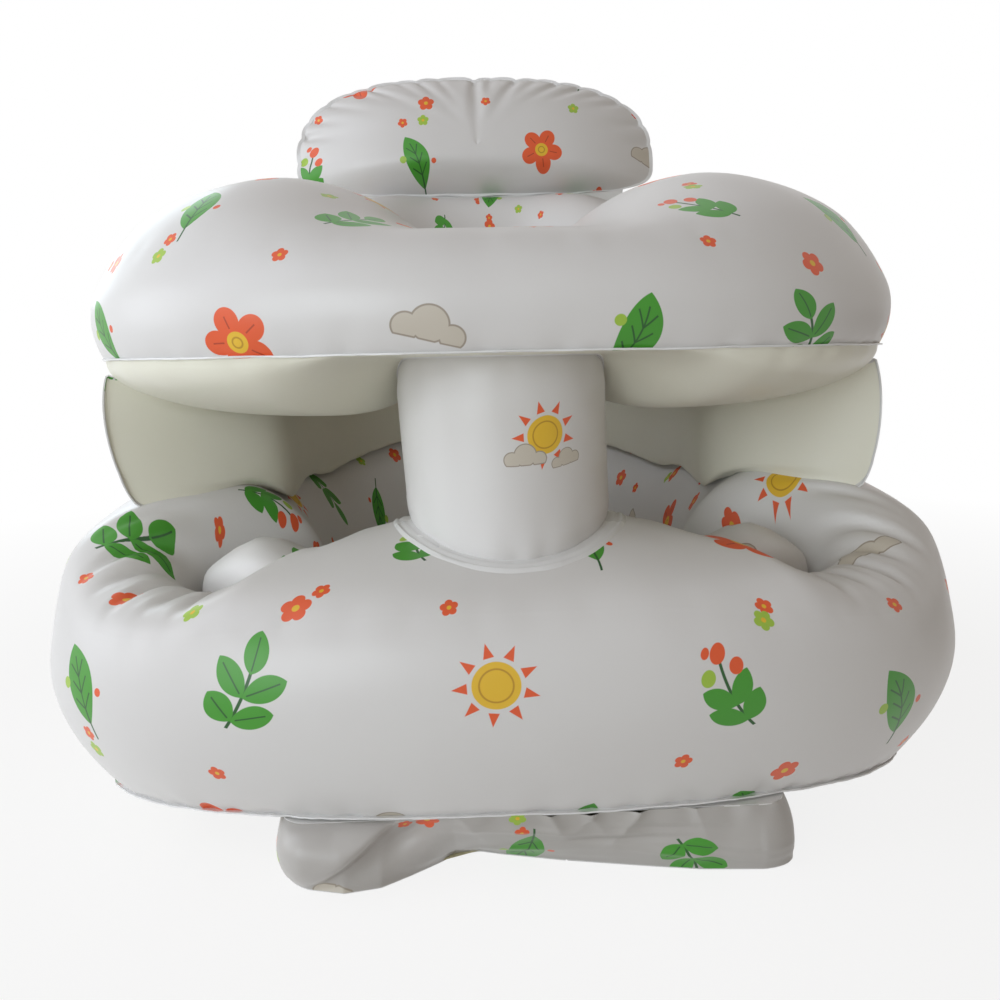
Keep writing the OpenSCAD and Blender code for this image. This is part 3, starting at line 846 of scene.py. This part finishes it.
def make_seat():
    t = base_t[None, :]
    rim = base_hole(t) - 0.6
    s = np.concatenate([[0.02, 0.1, 0.2], np.linspace(0.3, 0.86, 9), np.linspace(0.89, 1, 10)])[:, None]
    # in the leg wells the cushion presses against the base's inner side
    r = s * rim + 7 * lobes(t) * sind(180 * np.clip((s - 0.86) / 0.14, 0, 1))
    x, y = r * cosd(t), BASE_CY + r * sind(t)
    p = xyz(x, y, seat_height(x, y, s))
    tuck = 12  # height of the edge that stands down inside the base
    p = np.concatenate([p, np.stack([p[-1] - [0, 0, k * tuck / 3] for k in (1, 2, 3)])])
    away = climb(p)
    v = away[-1:] - away
    n = normals(p, True)
    n = n * np.sign(n[5:6, :, 2:3])
    u = seam_run(base_t, base_hole)[:-1]
    p = sunk(p, n, creases(u, np.abs(v - tuck), u.max(), 56, 1.3, 13, 21) * (away > tuck))
    p = np.concatenate([np.broadcast_to(p[:1].mean(1, keepdims=True), p[:1].shape), p])
    uv = turned(np.concatenate([p[..., :2], p[:, :1, :2]], axis=1), 20, (9, 50))
    sheet("seat_cushion_film", p, PRINTED, "printed_film", ["seat_top_sheet", "seat_air"], 0.8, uv)
    under = polar(column(6, 0.001) * rim, t, WELD_Z - 0.6, BASE_CY)
    sheet("seat_under_film", under, CREAM, "plain_film", ["seat_bottom_sheet"], 0.2)


# ---- crotch post
POST_COLS = 144
post_a = np.arange(POST_COLS) / POST_COLS * 360


def make_post():
    a = post_a
    ends = np.linspace(0, 0.08, 6)[:-1], np.linspace(0.92, 1, 6)[1:]
    f = np.concatenate([ends[0], np.linspace(0.08, 0.92, 24), ends[1]])[:, None]
    r = POST_R - 1.0 + 1.4 * np.minimum(1, (np.minimum(f, 1 - f) / 0.1)) ** 0.5 + 0.9 * f
    x, y = r * cosd(a), POST_Y + r * sind(a)
    low, high = base_top_at(x, y) + 0.2, ring_under_at(x, y) - 0.2
    z = low + (high - low) * f
    p, n = xyz(x, y, z), xyz(cosd(a), sind(a), 0 * f)
    length = 2 * math.pi * POST_R
    u = a / 360 * 2 * math.pi * POST_R
    for edge, seed in ((z - low, 41), (high - z, 42)):
        p = sunk(p, n, creases(u, edge, length, 15, 1.0, 16, seed, width=3.4))
        p = sunk(p, n, -0.35 * hump(edge - 9, 1.2))
    p = sunk(p, n, -ripple(u, z, 43, 4, 0.35))
    # a lap line low on the front
    p = sunk(p, n, 0.7 * hump(z - low - 13 - 3 * np.sin(u / 40), 1.6) * bell(a - 360, -105, 38))
    # the print's place counts from near the post's front
    uv = grid_uv(p, np.append(u, length)) - np.array([294.0 / 360 * length - 71.5, 0])
    sheet("post_film_tube", p, POST_PRINT, "printed_film", ["post_film", "post_air"], 0.95, uv)


def make_post_flange(name, node, side, seed, surface, reach, ridges):
    """The welded collar at an end of the post. side is 1 at its foot and -1 at its head."""
    w = column(12)
    phases = np.random.default_rng(seed).uniform(0, 2 * math.pi, 5)
    wave = sum(np.sin(k * np.radians(post_a) + q) for k, q in zip((3, 5, 8, 13, 19), phases)) / 5
    r = POST_R - 2.0 + (reach[0] + reach[1] * wave) * w
    x, y = r * cosd(post_a), POST_Y + r * sind(post_a)
    ridge = (0.6 * hump(w - 0.5, 0.12) + 0.9 * hump(w - 0.84, 0.08)) * ridges
    z = surface(x, y) + side * (0.35 - 0.6 * w ** 6 + ridge * (1 + 0.25 * wave))
    sheet(name, xyz(x, y, z), WELD, "weld", [node], out=-side, thick=0.6)


# ---- side wall
WALL_START, WALL_END = -24.0, 204.0
WALL_CLOSE = 27  # degrees at each end where the points lie closer


def wall_point(t, k, u, bulge):
    """k runs from the outside, 0, to the inside, 1, and u up from the base, 0, to the ring, 1."""
    d = np.clip(np.minimum(t - WALL_START, WALL_END - t) / 18, 0, 1)
    thick = np.sqrt(1 - (1 - d) ** 3)
    ro = ring_foot(t) + 0.5 - 7.5 * np.maximum(0, 1 - u) ** 1.5 - 4 * u ** 4
    ri = ro - thick * (ro - oval(t, 118, 165, 128, 2.6, 2.4))
    full = smooth(d, 0, 0.5)
    r = ro + (ri - ro) * k + bulge * (5.5 + 3.5 * full - 15 * k * full)
    x, y = r * cosd(t), RING_CY + r * sind(t)
    low, high = base_top_at(x, y) + 0.1, ring_under(t, r) - 0.1
    return xyz(x, y, low + (high - low) * u)


def make_wall():
    a = WALL_CLOSE * (1 - cosd(np.linspace(0, 90, 26)))
    middle = np.linspace(WALL_START + WALL_CLOSE, WALL_END - WALL_CLOSE, 220)[1:-1]
    t = np.concatenate([WALL_START + a, middle, WALL_END - a[::-1]])[None, :]
    f = column(30)
    bulge = (4 * f * (1 - f)) ** 0.6
    edge = smooth(f, 0, 0.12) * (1 - smooth(f, 0.88, 1))
    outer = wall_point(t, 0.0 + 0.12 * (1 - edge), f, bulge)
    inner = wall_point(t, 1.0 - 0.12 * (1 - edge), 1 - f, bulge)
    run = running(np.linalg.norm(np.diff(outer[15], axis=0), axis=-1))
    length = run[-1]
    ends = np.minimum(run, length - run)[None, :]
    closed = smooth(ends, 0, 9)

    def seam_dents(v, count, depth, reach, seed):
        """Pinches at both seams."""
        return sum(creases(run, edge, length, count, depth, reach, seed + k, wrap=False)
                   for k, edge in enumerate((v, v[-1:] - v)))

    v = climb(outer)
    dent = seam_dents(v, 34, 0.9, 12, 51)
    dent = dent + creases(v, ends, float(v.max()), 6, 2.2, 20, 53, wrap=False, width=5)
    outer = sunk(outer, normals(outer, False), dent * closed)
    uv = grid_uv(outer, np.append(run, length), tilt=-4, shift=(-60, 18))
    nodes = ["wall_outer_sheet", "wall_air"]
    sheet("wall_outer_film", outer, PRINTED, "printed_film", nodes, 0.9, uv, wrap=False)
    dent = seam_dents(climb(inner), 30, 1.2, 16, 54)
    inner = sunk(inner, normals(inner, False), dent * closed)
    sheet("wall_inner_film", inner, CREAM, "plain_film", ["wall_inner_sheet"], 0.9, wrap=False)
    for name, line, end, side in (("left", outer[:, -1], WALL_END, 1),
                                  ("right", outer[::-1, 0], WALL_START, -1)):
        away = np.array([-sind(end), cosd(end), 0]) * side + 0 * line
        seam_bead("wall_end_weld_" + name, line, away, 1.5, 0.3, 88, wrap=False)


# ---- upper ring
RING_COLS = 520
ring_t = columns(RING_COLS, ring_seam, ring_hole)
ring_run = seam_run(ring_t, ring_seam)
RING_LENGTH = ring_run[-1]


def make_ring():
    band_rows, top_rows = 22, 56
    t = ring_t[None, :]
    s, h, rise = ring_seam(t), ring_hole(t), ring_rise(t)
    c = (s + h) / 2
    f = 1 - cosd(column(26, 0, 90))
    q = column(25, 0, 90)[1:]
    rim_z, tuck = RING_Z1 - HOLE_DROP, 11
    r = np.concatenate([s + (c - s) * f, h + (c - h) * (1 - sind(q) ** (2 / FALL)), h + 0 * f[:3]])
    z = np.concatenate([RING_Z1 + rise * sind(90 * f) ** RING_ROUND,
                        rim_z + (rise + HOLE_DROP) * np.maximum(cosd(q), 0) ** (2 / FALL),
                        rim_z - tuck * np.array([[1 / 3], [2 / 3], [1]]) + 0 * t])
    g = column(18)
    swell = 8 * sind(180 * g) ** (0.75 + 0.3 * smooth(g, 0.3, 0.9))
    band = polar(s + (ring_foot(t) - s) * (1 - g) ** 1.6 + swell, t, RING_Z0 + RING_BAND_H * g, RING_CY)
    p = eased(band, polar(r, t, z, RING_CY), (band_rows, top_rows), 13, 36)
    v = climb(p)
    seam = v[band_rows - 1:band_rows]
    u = ring_run[:-1]
    dent = (creases(u, v, RING_LENGTH, 76, 1.0, 10, 63)
            + creases(u, np.abs(v - seam), RING_LENGTH, 50, 0.5, 10, 64)
            + creases(u, v[-1:] - v, RING_LENGTH, 44, 2.0, 20, 62, width=5))
    skin("ring", p, band_rows, dent, ring_run, RING_Z0 + RING_BAND_H / 2, (12, 2, (8, -9)))


def make_ring_bottom():
    t = ring_t[None, :]
    s = ring_foot(t)
    r = s + (ring_hole(t) - s) * (0.5 - 0.5 * cosd(180 * column(34)))
    p = polar(r, t, ring_under(t, r), RING_CY)
    n = normals(p, True)
    n = n * np.sign(n[10:11, :, 2:3]) * -1
    p = sunk(p, n, creases(ring_run[:-1], climb(p), RING_LENGTH, 56, 1.2, 18, 65))
    uv = grid_uv(p, ring_run)
    sheet("ring_bottom_film", p, CREAM, "plain_film", ["ring_bottom_sheet"], 0.9, uv, out=-1)


# ---- headrest
hinge = next(joint for joint in frame["joints"] if joint["name"] == "headrest_tilt")["pos_m"]
HINGE_Y, HINGE_Z = hinge[1] / MM, hinge[2] / MM
PILLOW_MID = PILLOW_DN + 3.85  # height of the pillow's widest line over the hinge
PILLOW_COLS = 360


def pillow_place(p):
    """From the pillow's own plane to the seat's frame."""
    a = math.radians(-PILLOW_LEAN)
    y = HINGE_Y + p[..., 1] * math.cos(a) - p[..., 2] * math.sin(a)
    z = HINGE_Z + p[..., 1] * math.sin(a) + p[..., 2] * math.cos(a)
    return xyz(p[..., 0], y, z)


def pillow_edge(a):
    """Outline of the headrest at the angle a, about its middle."""
    c, q = cosd(a), sind(a)
    x = (PILLOW_W / 2 + 2.2) * np.sign(c) * np.abs(c) ** np.where(q > 0, 2 / 2.9, 0.45)
    z = np.where(q > 0, (PILLOW_H - PILLOW_DN + 2.8) * np.abs(q) ** (2 / FALL),
                 -(PILLOW_DN + 3.2) * np.abs(q) ** (2 / 5))
    return x, z


def make_headrest():
    fine = np.linspace(0, 360, 7201)
    run = running(np.hypot(*np.diff(pillow_edge(fine))))
    u = np.arange(PILLOW_COLS) / PILLOW_COLS * run[-1]
    ex, ez = pillow_edge(np.interp(u, run, fine))
    far = np.hypot(ex, ez)
    s = 1 - (1 - column(44, 1, 0)) ** 1.35
    v = (1 - s) * far
    # pinches along the upper edge, the deepest one at its middle
    rng = np.random.default_rng(81)
    pinch = np.arange(8, run[-1] * 0.53, 16.0)
    pinch = pinch + rng.uniform(-3.5, 3.5, len(pinch))
    depth = rng.uniform(0.5, 1.15, len(pinch))
    top = np.interp(90, fine, run)
    middle = np.argmin(np.abs(pinch - top))
    pinch[middle], depth[middle] = top, 1.45
    notch, sink = 0, 0
    for place, size in zip(pinch, depth):
        notch = notch + size * np.exp(-np.abs(u - place) / 3.2)
        gap = (u - place) * (0.25 + 0.75 * s)
        valley = hump(gap, 2.2 + 0.14 * v) - 0.35 * hump(gap, 5.5 + 0.3 * v)
        sink = sink + size * 3.4 * hump(v, 11 + 12 * size, 1.3) * valley
    half = np.maximum(PILLOW_T / 2 * (1 - s ** 3) - sink * smooth(v, 0, 4), 0.0)
    shrink = 1 - 1.9 * notch / far * s ** 8
    for side, name, nodes in ((-1, "headrest_front_film", ["headrest_front_sheet", "headrest_air"]),
                              (1, "headrest_back_film", ["headrest_back_sheet"])):
        p = xyz(ex * s * shrink, side * half, PILLOW_MID + ez * s * shrink)
        if side > 0:
            # flat behind the valve
            valve = np.hypot(p[..., 0] + lean(HINGE_Z + PILLOW_MID), p[..., 2] - PILLOW_MID - 6)
            y, plane = p[..., 1], PILLOW_T / 2 * (1 - 0.34 ** 3) + SKIN - 0.1
            p[..., 1] = np.where(y > plane, y + (1 - smooth(valve, 12, VALVE_REACH)) * (plane - y), y)
        flat = np.concatenate([p[..., [0, 2]], p[:, :1, [0, 2]]], axis=1)
        uv = turned(flat * np.array([-side, 1]), 4 * side, (33, -11 + 40 * side))
        sheet(name, pillow_place(p), PRINTED, "printed_film", nodes, 0.85, uv, "headrest", out=-side)
    # pressed rim round the pillow
    w = column(5)
    outer, inner = 1 + (1.3 - 1.9 * notch) / far * w, 1 - (1.2 + 1.9 * notch) / far
    k = inner + (outer - inner) * w
    p = xyz(ex * k, 0.5 * np.sin(u / 5.1) * w, PILLOW_MID + ez * k)
    sheet("headrest_rim_film", pillow_place(p), WELD, "weld", ["headrest_weld_rim"], body="headrest",
          thick=0.8)


def make_hinge_strip():
    """The web between the ring and the headrest, which bends with it on the real seat; here it is drawn fixed
    in its rest shape.
    """
    f = column(9)
    x = np.linspace(-100, 100, 80)[None, :] * (0.88 + 0.12 * f ** 0.5)
    low, high = ring_top_at(x, HINGE_Y + 0 * x) - 1.5, HINGE_Z + 3.6
    y = HINGE_Y + 3 * f * sind(PILLOW_LEAN) + 0.25 * np.sin(x / 6) * f
    p = xyz(x, y, low + (high - low) * f)
    piece = film("headrest_hinge_film", p, WHITE, wrap=False, thick=0.6)
    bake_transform(piece)
    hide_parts("headrest_hinge_strip")


# ---- pump pad
pad_low, pad_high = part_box("pump_press_sheet")
PAD_CORNER = 12


def pad_outline(n, grow):
    """Rounded rectangle of the pump pad, with its length at each point."""
    (x0, y0), (x1, y1) = ([m / MM + side * grow for m in corner[:2]]
                          for corner, side in ((pad_low, -1), (pad_high, 1)))
    r = PAD_CORNER + grow
    arcs = []
    for cx, cy, start in ((x1 - r, y0 + r, -90), (x1 - r, y1 - r, 0),
                          (x0 + r, y1 - r, 90), (x0 + r, y0 + r, 180)):
        a = np.linspace(start, start + 90, 13)
        arcs.append(np.stack([cx + r * cosd(a), cy + r * sind(a)], axis=1))
    corners = np.concatenate(arcs + [arcs[0][:1]])
    run = running(np.linalg.norm(np.diff(corners, axis=0), axis=1))
    at = np.arange(n) / n * run[-1]
    return np.stack([np.interp(at, run, corners[:, i]) for i in range(2)], axis=1), np.append(at, run[-1])


# how far the pad's lower front edge lies behind its upper one, by x
PAD_FRONT = ((-101, 5), (-90, 1), (-75, -3), (-60, 0), (-48, 8), (-36, 17), (-29, 23), (-18, 25), (-9, 22),
             (17, 15), (55, 7), (76, 3), (101, 1), (113, 2))


def pad_level(path, f, forward=0.0):
    """The pad's outline at the height f, from its top, 0, to the floor, 1."""
    front = pad_low[1] / MM
    mid = (pad_low[1] + pad_high[1]) / 2 / MM
    x, y = path[..., 0] + 0 * f, path[..., 1] + 0 * f
    w = share(y, mid, front)
    xs, shifts = zip(*PAD_FRONT)
    ridge = -57 - 38 * f
    lobe = 9 * (1 - smooth(x, ridge - 2, ridge + 9)) * sind(180 * f ** 0.7) ** 0.7
    hollow = 7 * hump(x - ridge - 19, 13) * sind(180 * f ** 0.8)
    y = y + w * (np.interp(x, xs, shifts) * f ** 1.15 - lobe + hollow - forward)
    x = x + 6 * smooth(x, 95, 112) * f ** 0.8
    return np.stack([x, y], axis=-1)


SKIRT_COLS, SKIRT_H = 520, 31
# pleats at the skirt's top edge: place, depth, width, slant and length
PLEATS = ((11, 3.4, 4, 0.5, 11), (27, 2.6, 4, 0.7, 9), (30, 2, 3, -0.8, 8), (49, 3.2, 4, -0.6, 12),
          (72, 2.0, 3, 0.4, 9), (-26, 2.4, 4, 0.6, 10))
# folds along its front: place, distance from the top, slope, length and depth
FRONT_FOLDS = ((5, 11, 0.05, 34, 2.0), (40, 15, -0.05, 30, -1.8), (70, 20, 0.08, 30, 1.6),
               (-5, 19, -0.1, 20, 1.6), (60, 9, 0.02, 24, -1.5), (95, 14, 0.1, 18, 1.2))


def make_pump_skirt():
    path, run = pad_outline(SKIRT_COLS, 0.0)
    f = column(36)
    xy = pad_level(path[None], f)
    ahead = np.roll(xy, -1, 1) - np.roll(xy, 1, 1)
    away = unit(np.stack([ahead[..., 1], -ahead[..., 0]], axis=-1))
    u, v = run[:-1], SKIRT_H * f
    x = xy[..., 0]
    front = smooth(-away[..., 1], 0.2, 0.8)
    pleats = sum(size * np.exp(-np.abs(x - place - slant * v) / wide) * hump(v, long, 1.5)
                 for place, size, wide, slant, long in PLEATS)
    lines = sum(size * hump(v - high - slope * (x - 40), 2.0) * hump(x - place, long)
                for place, high, slope, long, size in FRONT_FOLDS)
    folds = creases(u, v, run[-1], 30, 1.6, 12, 92) + creases(u, SKIRT_H - v, run[-1], 26, 1.6, 12, 93)
    belly = sind(180 * f)
    bulge = 2.2 * belly + ripple(u * 3.1, v * 2.2, 91, 7, 1.4) * belly - folds + front * (pleats + lines)
    xy = xy + away * (bulge * np.minimum(1, (1 - f) * 6))[..., None]
    p = np.concatenate([xy, (PUMP_Z - 0.4 - (PUMP_Z - 1.1) * f + 0 * u)[..., None]], axis=-1)
    # the skirt's film is darkened by painted shade in its colour
    piece = sheet("pump_skirt_film", p, PAD_FILM_PAINTED_SHADE, "printed_film", ["pump_skirt"], 0.3,
                  grid_uv(p, run, tilt=5, shift=(0, 21)), out=-1)
    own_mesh(piece)


# the foam's heights, each with how far it reaches from its middle to its outline
FOAM_ROWS = ((1.0, 0.02), (1.0, 0.5), (1.0, 0.99), (1.6, 1.0), (8, 1.0), (15, 0.995), (22, 1.0),
             (29.2, 1.0), (29.8, 0.99), (29.8, 0.5), (29.8, 0.02))


def make_pump_foam():
    path = pad_outline(200, -1.5)[0]
    middle = path.mean(0)
    rows = []
    for z, k in FOAM_ROWS:
        level = middle + (pad_level(path, np.array(1 - z / 30), forward=-6.0) - middle) * k
        rows.append(at_height(level, z))
    piece = sheet("pump_foam_block", np.stack(rows), FOAM, "foam", ["pump_foam"], 0.9)
    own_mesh(piece)


def at_height(xy, z):
    """Points of a plan at the height z."""
    return np.concatenate([xy, np.full(xy.shape[:-1] + (1,), z)], axis=-1)


PRESS_JOIN = 20.0  # where the two films of the press sheet meet, in x


def make_press_sheet():
    """The sheet under the foam, as a film with the intake's hole and one beside it."""
    low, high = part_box("pump_intake_ring")
    middle = np.array([(low[0] + high[0]) / 2, (low[1] + high[1]) / 2]) / MM
    foot = pad_level(pad_outline(400, -0.4)[0], np.array(1.0))
    far = np.flatnonzero(foot[:, 0] < PRESS_JOIN)
    edge = foot.copy()
    edge[far, 0] = PRESS_JOIN
    edge[far, 1] = np.linspace(foot[far[0], 1], foot[far[-1], 1], len(far))
    hole = middle + 6.2 * unit(edge - middle)
    half = len(far) // 2
    back, front = foot[far][:half], foot[far][::-1][:half]
    k = column(12)[..., None]
    for name, start, end, nodes, wrap in (("pump_press_film", hole, edge, ["pump_press_sheet"], True),
                                          ("pump_press_film_end", back, front, [], False)):
        p = at_height(start + (end - start) * k, 0.05)
        out = -int(np.sign(normals(p, wrap)[len(p) // 2, 0, 2]))
        sheet(name, p, WHITE, "printed_film", nodes, body="pump_plate", wrap=wrap, out=out, thick=0.5)


def finish_cad():
    """Materials of the CAD parts that show as they are."""
    looks = {"flange": MOULDED, "stem": MOULDED, "plug": MOULDED, "intake_ring": MOULDED, "flap": FLAP}
    for name, node in frame["nodes"].items():
        if not node.hide_render:
            node.data.materials.clear()
            node.data.materials.append(next((m for end, m in looks.items() if name.endswith(end)), WHITE))


make_base()
make_base_bottom()
round_bead("base_lower_weld", base_t, base_foot, base_low(base_t), BASE_CY, 2.6, 0.7, 55)
make_seat()
make_post()
make_post_flange("post_foot_flange", "post_lower_weld", 1, 44, base_top_at, (COLLAR_W + 5.4, 0.6), 1.0)
make_post_flange("post_head_flange", "post_upper_weld", -1, 45, ring_under_at, (3.0, 0.3), 0.4)
make_wall()
make_ring()
make_ring_bottom()
round_bead("ring_lower_weld", ring_t, ring_foot, RING_Z0, RING_CY, 1.8, 0.5, 87)
make_headrest()
make_hinge_strip()
make_pump_skirt()
make_pump_foam()
make_press_sheet()
finish_cad()


# ---- light and floor
FLOOR_GLOW = 0.85  # share of plain white in the floor beside the seat
WORLD = (0.18, 0.138, 0.095)
LAMP_AIM = Vector((0, 0, 0.2))
# place, size, power and colour
LAMPS = (((-2.0, -0.35, 0.6), 1.5, 13, (0.88, 0.93, 1.0)), ((-1.3, -0.8, 1.6), 1.2, 7, (0.80, 0.86, 1.0)),
         ((-1.0, -1.8, 0.5), 1.4, 18.5, (0.87, 0.95, 1.0)), ((-1.2, 1.4, 1.0), 1.2, 7.5, (0.80, 0.93, 1.0)))


def make_lamps():
    for number, (place, size, power, color) in enumerate(LAMPS):
        data = bpy.data.lights.new("lamp_%d" % number, "AREA")
        data.shape, data.size, data.energy, data.color = "DISK", size, power, color
        lamp = add_object(data.name, data)
        lamp.location = place
        lamp.rotation_euler = (LAMP_AIM - Vector(place)).to_track_quat("-Z", "Y").to_euler()


def in_view(tree):
    """1 for rays from the camera, off gloss and through glass, which see the white background."""
    path = add_node(tree, "LightPath")
    seen = Value(tree, path.outputs["Is Camera Ray"]).most(Value(tree, path.outputs["Is Glossy Ray"]))
    return seen.most(Value(tree, path.outputs["Is Transmission Ray"]))


def paper(name, color, near, far):
    """Floor paper that keeps the object's shadow and turns to the white of the backdrop further
    out, between near and far in metres."""
    material, tree, shader = new_material(name)
    plug(tree, shader, {"Base Color": (*color, 1), "Roughness": 0.9})
    x, y, _ = parts(tree, "SeparateXYZ", add_node(tree, "TexCoord").outputs["Object"])
    glow = ramp(tree, x.away(y), 0.0, 1.0, near, far) * (1 - FLOOR_GLOW) + FLOOR_GLOW
    white = add_node(tree, "Emission").outputs[0]
    mix = add_node(tree, "MixShader", {0: in_view(tree) * glow, 1: shader.outputs[0], 2: white})
    plug(tree, tree.nodes["Material Output"], {0: mix.outputs[0]})
    return material


def make_floor():
    """A pale paper floor."""
    a = np.linspace(0, 360, 129)[:-1]
    r = np.array([0.3, 0.6, 1.0, 1.6, 4.0])[:, None]
    p = polar(r, a, -0.0005, 0)  # in metres
    faces = quads(len(a), *cells(len(r), len(a)))[:, [0, 3, 2, 1]]
    mesh = bpy.data.meshes.new("floor")
    mesh.from_pydata(p.reshape(-1, 3).tolist(), [], faces.tolist() + [list(range(len(a)))])
    mesh.materials.append(paper("floor_paper", (0.82, 0.81, 0.80), 0.35, 1.0))
    floor = add_object("floor", mesh)


def make_world():
    """Soft light from all sides, before a white background."""
    world = bpy.data.worlds.new("world")
    world.use_nodes = True
    tree = world.node_tree
    plug(tree, tree.nodes["Background"], {0: tinted(tree, (1.0, 1.0, 1.0), in_view(tree), (*WORLD, 1))})
    bpy.context.scene.world = world


make_floor()
make_world()
make_lamps()
bpy.context.scene.view_settings.view_transform = "Standard"
